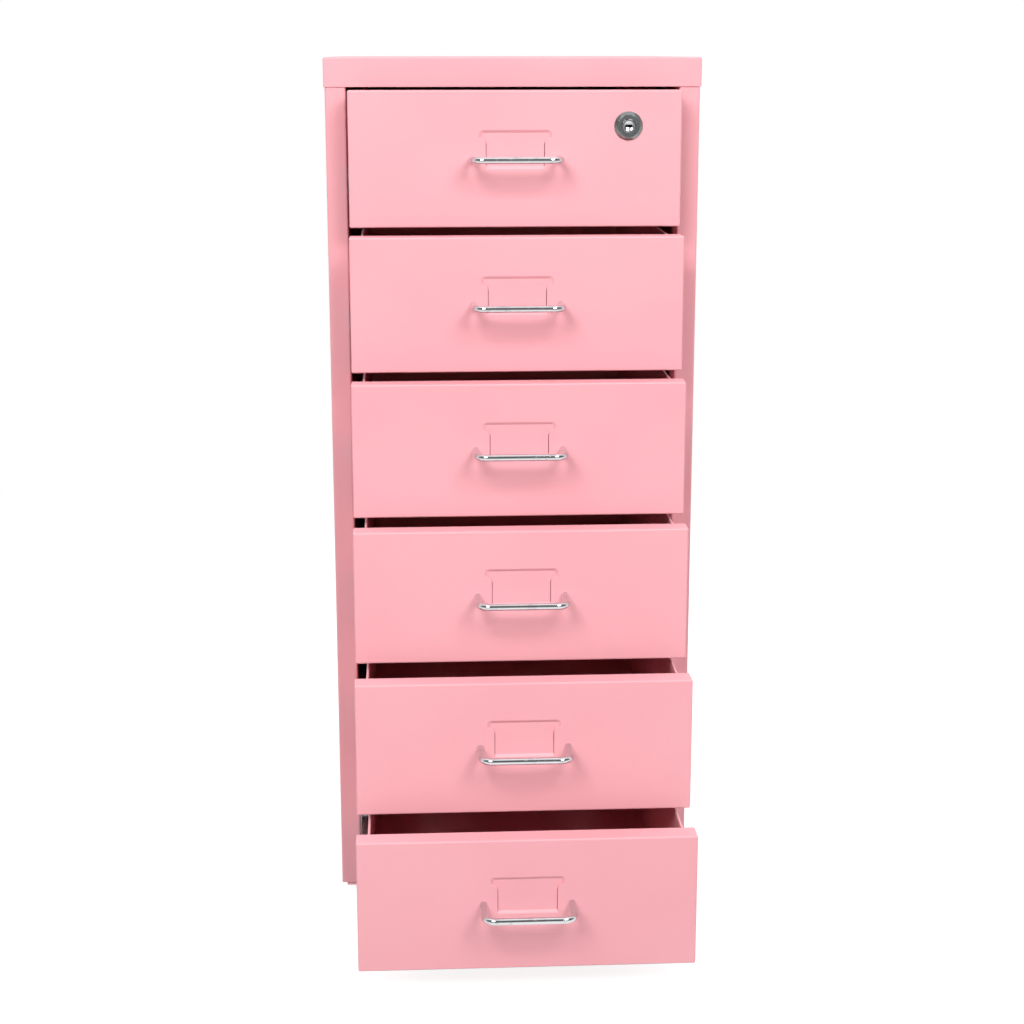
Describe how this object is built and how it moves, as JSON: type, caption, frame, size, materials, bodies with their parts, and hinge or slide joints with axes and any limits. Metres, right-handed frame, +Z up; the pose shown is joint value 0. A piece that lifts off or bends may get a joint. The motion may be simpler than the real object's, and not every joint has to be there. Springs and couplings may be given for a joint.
{
  "type": "sheet metal drawer cabinet",
  "caption": "Tall narrow sheet-metal cabinet with sliding drawers, pressed label holders, wire handles and a cam lock in the top drawer.",
  "frame": {"origin": "floor level under the centre of the carcass, between the feet", "axes": "+X to the right seen from the front, +Y to the back, +Z up; drawers open along -Y"},
  "size_m": [0.2818, 0.6264, 0.6661],
  "materials": {
    "pink_paint": "smooth satin powder coat, pale pink",
    "zinc_plate": "bright zinc plate",
    "chrome": "polished chrome",
    "nylon": "natural nylon",
    "foot_plastic": "dark moulded plastic"
  },
  "bodies": {
    "carcass": {"side_panel_left": "pink_paint", "side_panel_right": "pink_paint", "back_panel": "pink_paint", "top_cap": "pink_paint", "base_panel": "pink_paint", "top_rail": "pink_paint", "bottom_rail": "pink_paint", "rear_posts": "pink_paint", "runners_left": "zinc_plate", "runners_right": "zinc_plate", "runner_rivets": "zinc_plate", "panel_screws": "zinc_plate", "base_screws": "zinc_plate", "feet": "foot_plastic"},
    "drawer_1": {"drawer_1_front": "pink_paint", "drawer_1_tray": "pink_paint", "drawer_1_slides": "zinc_plate", "drawer_1_glides": "nylon", "drawer_1_handle": "chrome", "drawer_1_screws": "zinc_plate", "lock_housing": "chrome", "lock_nut": "zinc_plate"},
    "drawer_2": {"drawer_2_front": "pink_paint", "drawer_2_tray": "pink_paint", "drawer_2_slides": "zinc_plate", "drawer_2_glides": "nylon", "drawer_2_handle": "chrome", "drawer_2_screws": "zinc_plate"},
    "drawer_3": {"drawer_3_front": "pink_paint", "drawer_3_tray": "pink_paint", "drawer_3_slides": "zinc_plate", "drawer_3_glides": "nylon", "drawer_3_handle": "chrome", "drawer_3_screws": "zinc_plate"},
    "drawer_4": {"drawer_4_front": "pink_paint", "drawer_4_tray": "pink_paint", "drawer_4_slides": "zinc_plate", "drawer_4_glides": "nylon", "drawer_4_handle": "chrome", "drawer_4_screws": "zinc_plate"},
    "drawer_5": {"drawer_5_front": "pink_paint", "drawer_5_tray": "pink_paint", "drawer_5_slides": "zinc_plate", "drawer_5_glides": "nylon", "drawer_5_handle": "chrome", "drawer_5_screws": "zinc_plate"},
    "drawer_6": {"drawer_6_front": "pink_paint", "drawer_6_tray": "pink_paint", "drawer_6_slides": "zinc_plate", "drawer_6_glides": "nylon", "drawer_6_handle": "chrome", "drawer_6_screws": "zinc_plate"},
    "lock_cylinder": {"lock_plug": "chrome", "lock_cam": "zinc_plate", "cam_screw": "zinc_plate"}
  },
  "joints": [
    {"name": "drawer_1_slide", "type": "slide", "parent": "carcass", "child": "drawer_1", "axis": [0, -1, 0], "range_m": [-0.0286, 0.2314]},
    {"name": "drawer_2_slide", "type": "slide", "parent": "carcass", "child": "drawer_2", "axis": [0, -1, 0], "range_m": [-0.0544, 0.2056]},
    {"name": "drawer_3_slide", "type": "slide", "parent": "carcass", "child": "drawer_3", "axis": [0, -1, 0], "range_m": [-0.0787, 0.1813]},
    {"name": "drawer_4_slide", "type": "slide", "parent": "carcass", "child": "drawer_4", "axis": [0, -1, 0], "range_m": [-0.105, 0.155]},
    {"name": "drawer_5_slide", "type": "slide", "parent": "carcass", "child": "drawer_5", "axis": [0, -1, 0], "range_m": [-0.1414, 0.1186]},
    {"name": "drawer_6_slide", "type": "slide", "parent": "carcass", "child": "drawer_6", "axis": [0, -1, 0], "range_m": [-0.1825, 0.0775]},
    {"name": "lock_turn", "type": "hinge", "parent": "drawer_1", "child": "lock_cylinder", "pos_m": [0.0832, -0.2336, 0.61695], "axis": [0, 1, 0], "range_deg": [0, 90]}
  ]
}
